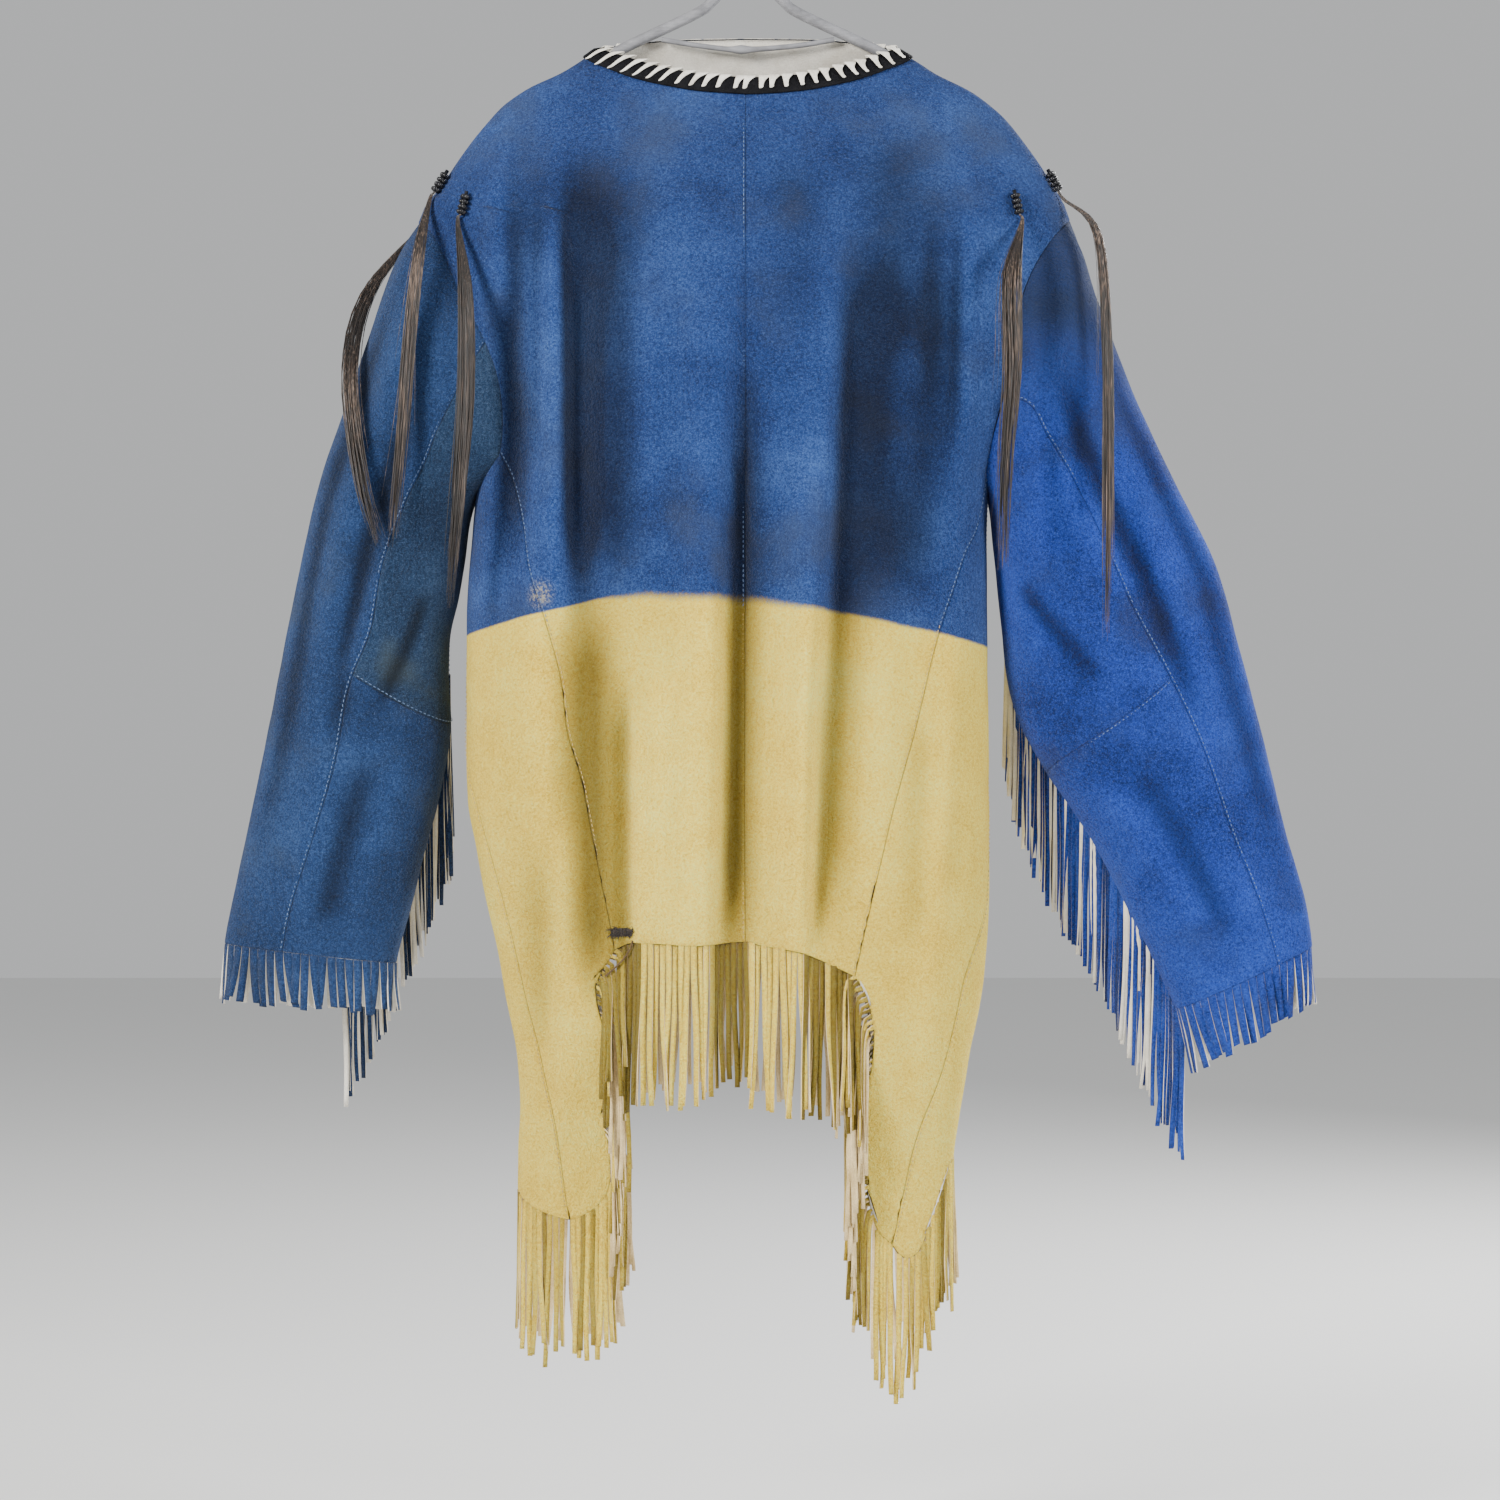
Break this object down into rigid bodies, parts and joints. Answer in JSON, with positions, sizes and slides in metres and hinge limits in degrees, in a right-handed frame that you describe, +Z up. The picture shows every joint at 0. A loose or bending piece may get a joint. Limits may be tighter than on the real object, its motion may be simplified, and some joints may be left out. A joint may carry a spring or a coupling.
{
  "type": "war shirt on a clothes hanger",
  "caption": "Fringed pull-over war shirt of blue-painted gold hide with drop tabs, bound neck and hair locks, hanging on a tubular clothes hanger.",
  "frame": {"origin": "the point under the top of the hanger's hook where it bears on its rail", "axes": "+Z up; X across the shirt, the wearer's left towards -X when the back is seen; the back faces -Y and the front +Y"},
  "size_m": [0.961, 0.2021, 1.3162],
  "materials": {
    "painted": "matt brushed suede rubbed with blue pigment over gold hide",
    "gold_hide": "matt brushed gold buckskin suede",
    "binding": "black leather strip whip-laced with cream leather lace",
    "hair": "long dark brown horsehair, slightly shiny",
    "beads": "small glossy black beads wound round the lock",
    "hanger": "grey moulded tube, satin",
    "hook_steel": "grey coated wire, satin"
  },
  "bodies": {
    "root": {"back_left": "painted", "back_right": "painted", "front": "painted", "sleeve_left_upper": "painted", "sleeve_left_under": "painted", "sleeve_left_gusset": "painted", "sleeve_right_upper": "painted", "sleeve_right_under": "painted", "sleeve_right_gusset": "painted", "side_left": "painted", "side_right": "painted", "cuff_fringe_left": "painted", "cuff_fringe_right": "painted", "sleeve_fringe_left": "painted", "sleeve_fringe_right": "painted", "hem_fringe_back": "gold_hide", "hem_fringe_front": "gold_hide", "tab_fringe_left": "gold_hide", "tab_fringe_right": "gold_hide", "neck_binding_back": "binding", "neck_binding_front": "binding", "hair_lock_1": "hair", "hair_lock_2": "hair", "hair_lock_3": "hair", "hair_lock_4": "hair", "hair_lock_5": "hair", "hem_tack": "hair", "bead_wrap_1": "beads", "bead_wrap_2": "beads", "bead_wrap_3": "beads", "bead_wrap_4": "beads", "bead_wrap_5": "beads", "hanger_arms": "hanger", "hanger_bar": "hanger", "hanger_hook": "hook_steel"}
  },
  "joints": []
}
